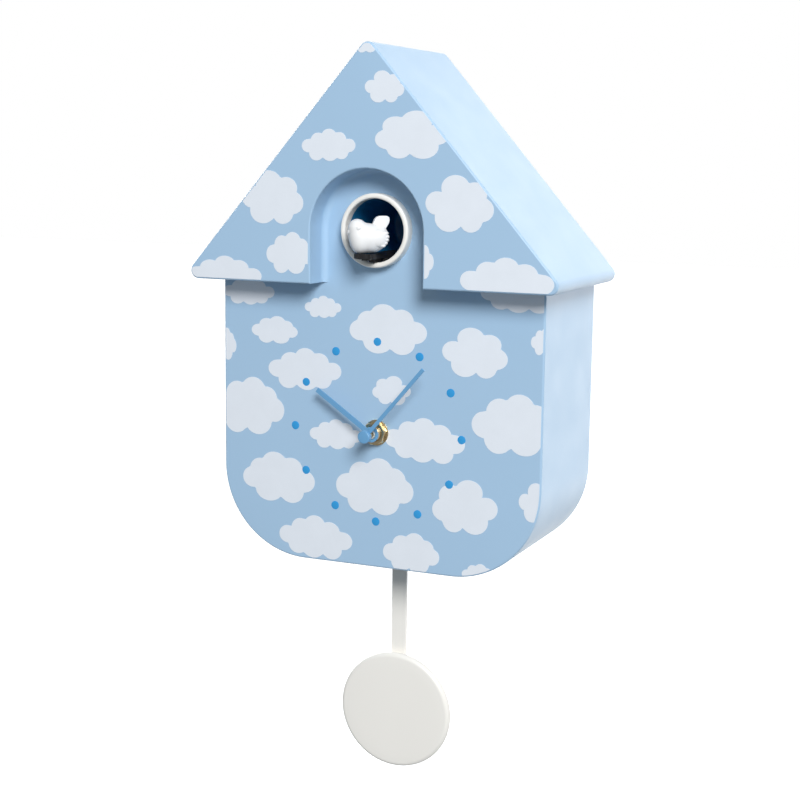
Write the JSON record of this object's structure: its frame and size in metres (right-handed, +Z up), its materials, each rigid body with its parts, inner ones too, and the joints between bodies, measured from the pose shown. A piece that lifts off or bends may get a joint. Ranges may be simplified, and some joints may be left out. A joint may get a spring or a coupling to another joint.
{
  "type": "pendulum wall clock",
  "caption": "House-shaped battery wall clock with a bird that slides out of a round window, two hands and a swinging disc pendulum.",
  "frame": {"origin": "seat of the hanging keyhole, in the wall plane", "axes": "+X to the right of the dial, +Y into the wall, +Z up; the dial faces -Y"},
  "size_m": [0.2102, 0.104, 0.4026],
  "materials": {
    "sky_plastic": "satin moulded ABS, sky blue with a white cloud print on the front",
    "pale_plastic": "satin moulded ABS",
    "navy_plastic": "satin",
    "cream_plastic": "satin off-white",
    "white_plastic": "satin white",
    "black_plastic": "fine texture",
    "hand_blue": "satin medium blue",
    "brass": "turned",
    "steel": "plated",
    "copper": "enamelled winding",
    "gear_acetal": "natural acetal",
    "circuit_board": "solder mask",
    "rubber": "matt",
    "battery_jacket": "printed sleeve",
    "speaker_paper": "paper cone"
  },
  "bodies": {
    "root": {"battery_1": "battery_jacket", "battery_2": "battery_jacket", "battery_3": "battery_jacket", "battery_tray": "black_plastic", "bird_gearbox": "black_plastic", "bird_motor": "steel", "brass_washer": "brass", "contact_strip_bottom": "steel", "contact_strip_top": "steel", "cover_screw_1": "steel", "cover_screw_2": "steel", "cover_screw_3": "steel", "cover_screw_4": "steel", "cover_screw_5": "steel", "front_housing": "sky_plastic", "hex_nut": "brass", "mode_switch": "black_plastic", "movement_board": "circuit_board", "movement_case_front": "black_plastic", "movement_case_rear": "black_plastic", "pendulum_bracket": "black_plastic", "pendulum_coil": "copper", "pendulum_pin": "steel", "quartz_crystal": "steel", "rear_cover": "pale_plastic", "rubber_washer": "rubber", "sound_board": "circuit_board", "sound_chip": "black_plastic", "speaker_cone": "speaker_paper", "speaker_frame": "steel", "speaker_magnet": "steel", "stepper_coil": "copper", "stepper_stator": "steel", "threaded_bush": "brass", "window_ring": "cream_plastic", "window_tunnel": "navy_plastic"},
    "hour": {"hour_wheel": "gear_acetal", "hour_hand": "hand_blue"},
    "minute": {"minute_arbor": "brass", "minute_hand": "hand_blue", "hand_cap": "hand_blue"},
    "motion": {"motion_wheel": "gear_acetal", "setting_knob": "black_plastic"},
    "third_pinion": {"third_pinion": "steel"},
    "third_wheel": {"third_wheel": "gear_acetal"},
    "fourth_wheel": {"fourth_wheel": "gear_acetal"},
    "fifth_wheel": {"fifth_wheel": "gear_acetal"},
    "rotor": {"stepper_rotor": "steel"},
    "pendulum": {"pendulum_hanger": "black_plastic", "pendulum_magnet": "steel", "pendulum_rod": "cream_plastic", "pendulum_bob": "cream_plastic"},
    "bird": {"bird": "white_plastic", "bird_carriage": "black_plastic"},
    "bird_pinion": {"bird_drive_pinion": "gear_acetal"},
    "battery_lid": {"battery_lid": "pale_plastic"},
    "mode_slider": {"mode_slider": "white_plastic"}
  },
  "joints": [
    {"name": "minute_spin", "type": "hinge", "parent": "root", "child": "minute", "pos_m": [0, -0.0705, -0.1465], "axis": [0, 1, 0], "continuous": true},
    {"name": "hour_spin", "type": "hinge", "parent": "root", "child": "hour", "pos_m": [0, -0.0705, -0.1465], "axis": [0, 1, 0], "continuous": true},
    {"name": "motion_spin", "type": "hinge", "parent": "root", "child": "motion", "pos_m": [0, -0.0705, -0.1345], "axis": [0, 1, 0], "continuous": true},
    {"name": "third_pinion_spin", "type": "hinge", "parent": "root", "child": "third_pinion", "pos_m": [-0.00741, -0.0705, -0.15169], "axis": [0, 1, 0], "continuous": true},
    {"name": "rotor_spin", "type": "hinge", "parent": "root", "child": "rotor", "pos_m": [0.00809, -0.0705, -0.15836], "axis": [0, 1, 0], "continuous": true},
    {"name": "fifth_wheel_spin", "type": "hinge", "parent": "root", "child": "fifth_wheel", "pos_m": [0.00147, -0.0705, -0.16078], "axis": [0, 1, 0], "continuous": true},
    {"name": "fourth_wheel_spin", "type": "hinge", "parent": "root", "child": "fourth_wheel", "pos_m": [-0.00449, -0.0705, -0.15973], "axis": [0, 1, 0], "continuous": true},
    {"name": "third_wheel_spin", "type": "hinge", "parent": "root", "child": "third_wheel", "pos_m": [-0.00741, -0.0705, -0.15169], "axis": [0, 1, 0], "continuous": true},
    {"name": "pendulum_swing", "type": "hinge", "parent": "root", "child": "pendulum", "pos_m": [0, -0.053, -0.16], "axis": [0, 1, 0], "range_deg": [-6, 6]},
    {"name": "bird_slide", "type": "slide", "parent": "root", "child": "bird", "axis": [0, 1, 0], "range_m": [0, 0.03]},
    {"name": "bird_pinion_spin", "type": "hinge", "parent": "root", "child": "bird_pinion", "pos_m": [0, -0.065, -0.059], "axis": [1, 0, 0], "range_deg": [-360, 0]},
    {"name": "battery_lid_pull", "type": "slide", "parent": "root", "child": "battery_lid", "axis": [0, 1, 0], "range_m": [0, 0.03]},
    {"name": "mode_slide", "type": "slide", "parent": "root", "child": "mode_slider", "axis": [1, 0, 0], "range_m": [0, 0.005]}
  ],
  "couplings": [
    {"joint": "hour_spin", "follows": "minute_spin", "ratio": 0.083333},
    {"joint": "motion_spin", "follows": "minute_spin", "ratio": -0.33333},
    {"joint": "third_pinion_spin", "follows": "minute_spin", "ratio": -8},
    {"joint": "fifth_wheel_spin", "follows": "rotor_spin", "ratio": -0.16667},
    {"joint": "fourth_wheel_spin", "follows": "rotor_spin", "ratio": 0.033333},
    {"joint": "third_wheel_spin", "follows": "rotor_spin", "ratio": -0.0044444},
    {"joint": "bird_pinion_spin", "follows": "bird_slide", "rad_per_m": -208.33}
  ]
}
